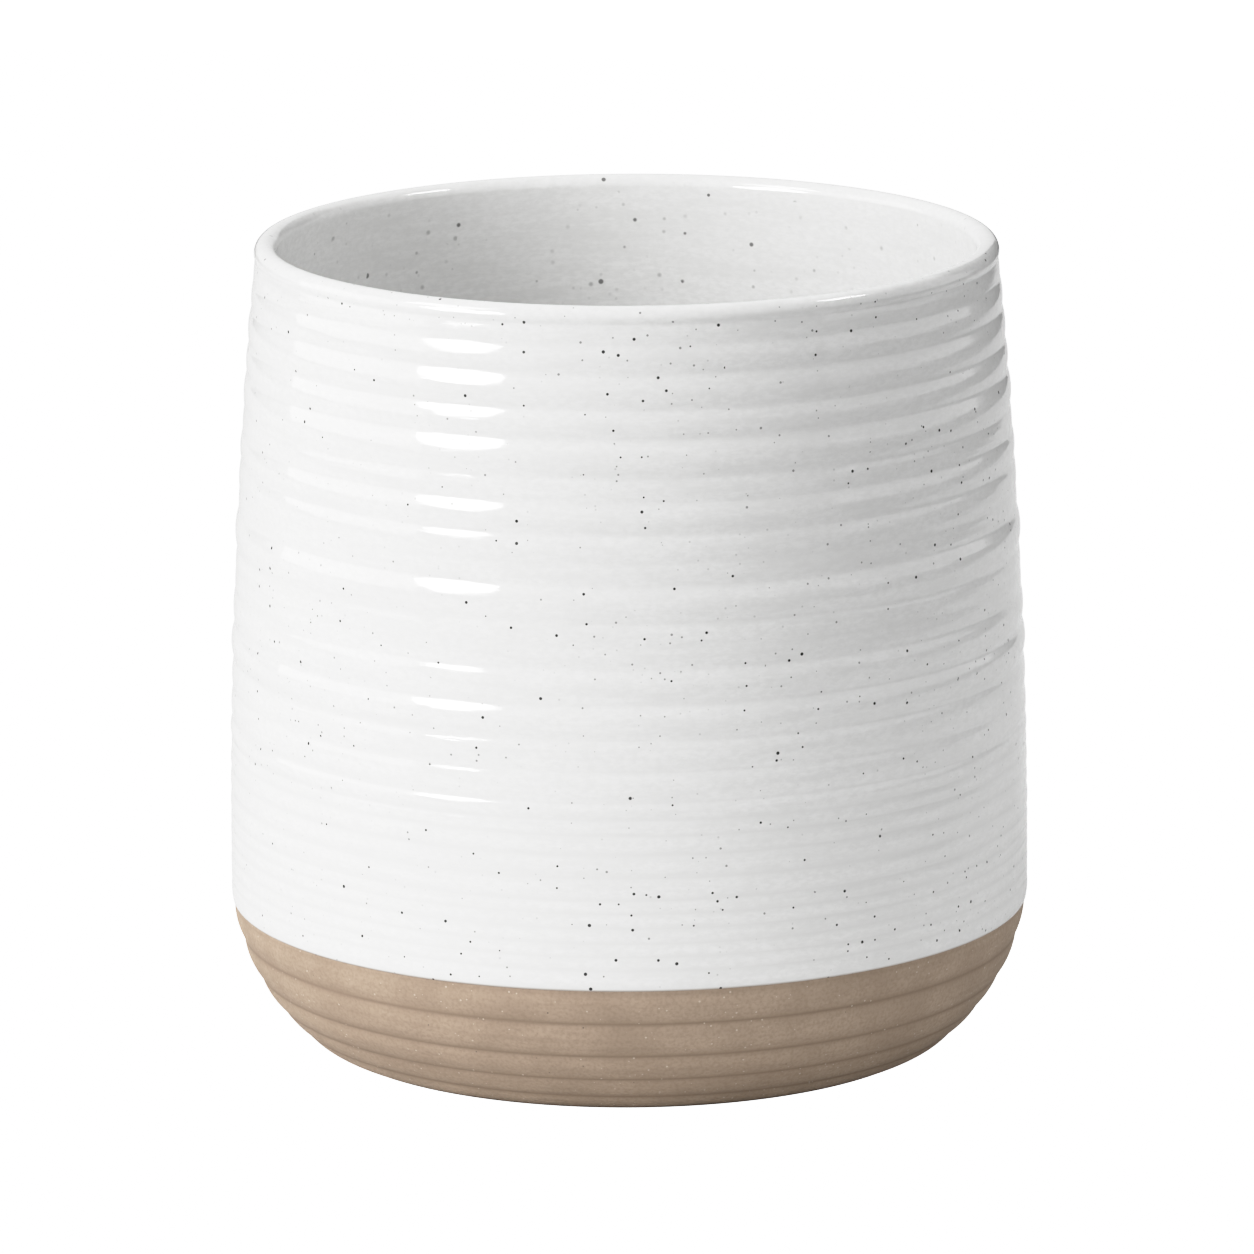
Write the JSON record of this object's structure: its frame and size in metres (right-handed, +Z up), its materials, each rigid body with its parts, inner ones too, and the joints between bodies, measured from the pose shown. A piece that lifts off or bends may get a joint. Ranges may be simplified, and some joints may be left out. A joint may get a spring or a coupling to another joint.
{
  "type": "utensil crock",
  "caption": "Wheel-thrown stoneware utensil crock with a ringed wall, speckled white glaze outside and in, and a bare clay band above the foot.",
  "frame": {"origin": "centre of the foot, on the plane that the crock stands on", "axes": "+Z up along the axis that the crock was thrown on; +X and +Y are free, because the crock is round"},
  "size_m": [0.1652, 0.1652, 0.167],
  "materials": {
    "bare_clay": "matt tan stoneware, unglazed, with fine grog",
    "speckled_white_glaze": "glossy opaque white with dark iron specks"
  },
  "bodies": {
    "root": {"stoneware_body": "bare_clay", "outside_glaze": "speckled_white_glaze", "inside_glaze": "speckled_white_glaze"}
  },
  "joints": []
}
